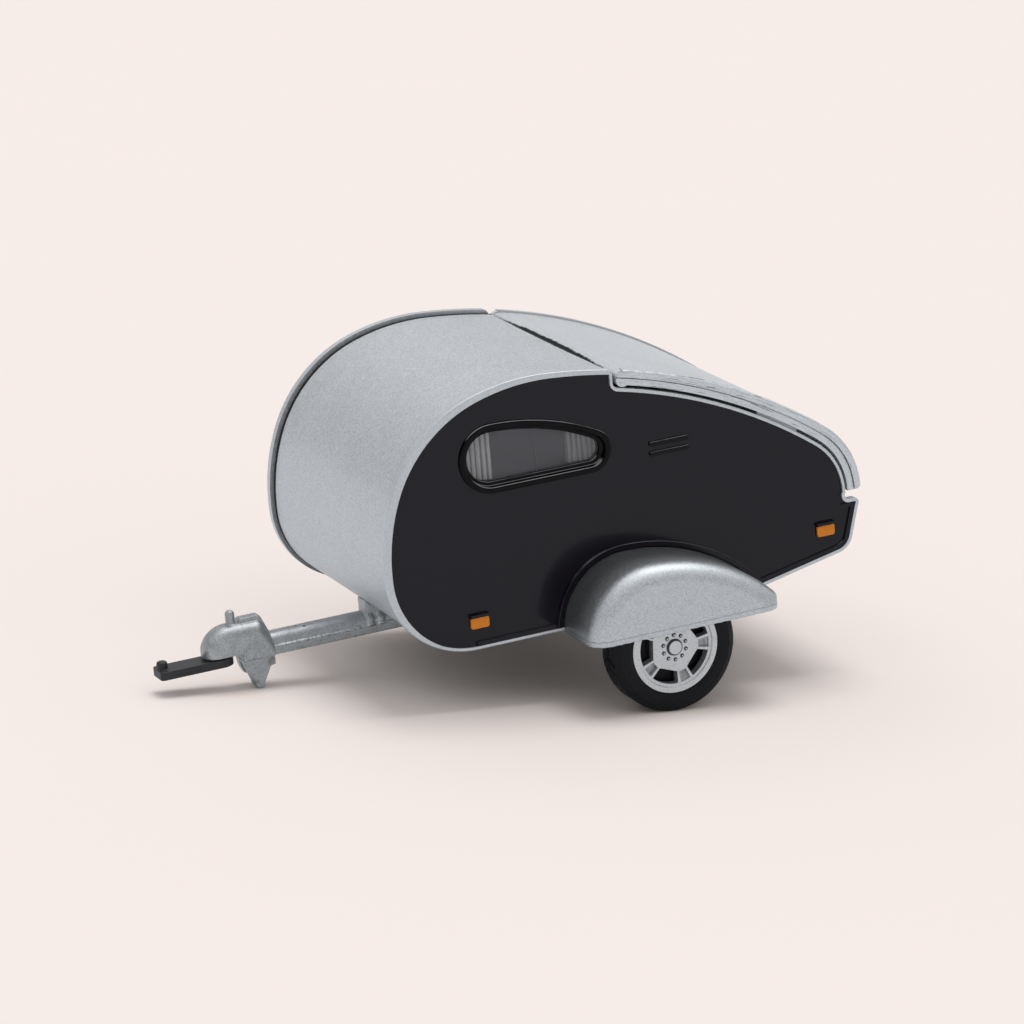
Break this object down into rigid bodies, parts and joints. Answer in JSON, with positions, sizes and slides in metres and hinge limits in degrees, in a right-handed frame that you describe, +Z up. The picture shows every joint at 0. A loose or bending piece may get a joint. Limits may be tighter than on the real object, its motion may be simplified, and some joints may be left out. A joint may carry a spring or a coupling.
{
  "type": "die-cast model teardrop travel trailer",
  "caption": "Die-cast model of a teardrop travel trailer: silver wrap, black sides, lifting rear hatch, rolling wheels and a swivelling tow hook, parked on the leg under its coupler.",
  "frame": {"origin": "on the floor, under the middle of the parked trailer's box", "axes": "+X forward, towards the tow hook; +Y to the trailer's left; +Z up"},
  "size_m": [0.1376, 0.088, 0.0664],
  "materials": {
    "silver_paint": "satin metallic flake paint",
    "black_paint": "gloss paint",
    "black_gloss": "gloss moulded gasket",
    "clear_glass": "clear styrene pane",
    "curtain_grey": "pleated, matt",
    "amber_lens": "clear paint over a moulded block",
    "red_lens": "clear paint over a moulded block",
    "cast_metal": "as-cast, thin satin paint",
    "wheel_silver": "satin silver",
    "tyre_rubber": "moulded rubber",
    "pin_steel": "plain drawn wire",
    "base_plastic": "moulded, matt",
    "hook_plastic": "moulded, satin",
    "galley_plastic": "moulded, matt"
  },
  "bodies": {
    "trailer": {"front_wrap": "silver_paint", "base_plate": "base_plastic", "rear_panel": "silver_paint", "side_panel_left": "black_paint", "side_panel_right": "black_paint", "edge_bead_left": "silver_paint", "edge_bead_right": "silver_paint", "window_frame_left": "black_gloss", "window_frame_right": "black_gloss", "window_glass_left": "clear_glass", "window_glass_right": "clear_glass", "curtains_left": "curtain_grey", "curtains_right": "curtain_grey", "vent_left": "black_paint", "vent_right": "black_paint", "front_marker_left": "amber_lens", "front_marker_right": "amber_lens", "rear_marker_left": "amber_lens", "rear_marker_right": "amber_lens", "tail_lamp_left": "red_lens", "tail_lamp_right": "red_lens", "hinge_beam": "galley_plastic", "hinge_rod": "pin_steel", "galley_bulkhead": "galley_plastic", "galley_counter": "galley_plastic", "galley_cabinet": "galley_plastic", "fender_left": "silver_paint", "fender_right": "silver_paint", "drawbar": "cast_metal", "coupler": "cast_metal", "jack_leg": "cast_metal"},
    "hatch": {"hatch_shell": "silver_paint", "hatch_liner": "silver_paint"},
    "wheelset": {"axle": "pin_steel", "tyre_left": "tyre_rubber", "tyre_right": "tyre_rubber", "rim_left": "wheel_silver", "rim_right": "wheel_silver"},
    "hook": {"tow_hook": "hook_plastic"}
  },
  "joints": [
    {"name": "hatch_hinge", "type": "hinge", "parent": "trailer", "child": "hatch", "pos_m": [-0.01522, 0, 0.06397], "axis": [0, 1, 0], "range_deg": [0, 75]},
    {"name": "wheel_spin", "type": "hinge", "parent": "trailer", "child": "wheelset", "pos_m": [-0.02234, 0, 0.013], "axis": [0, 1, 0], "continuous": true},
    {"name": "hook_swivel", "type": "hinge", "parent": "trailer", "child": "hook", "pos_m": [0.05547, 0, 0.00498], "axis": [0.1228, 0, 0.9924], "range_deg": [-40, 40]}
  ]
}
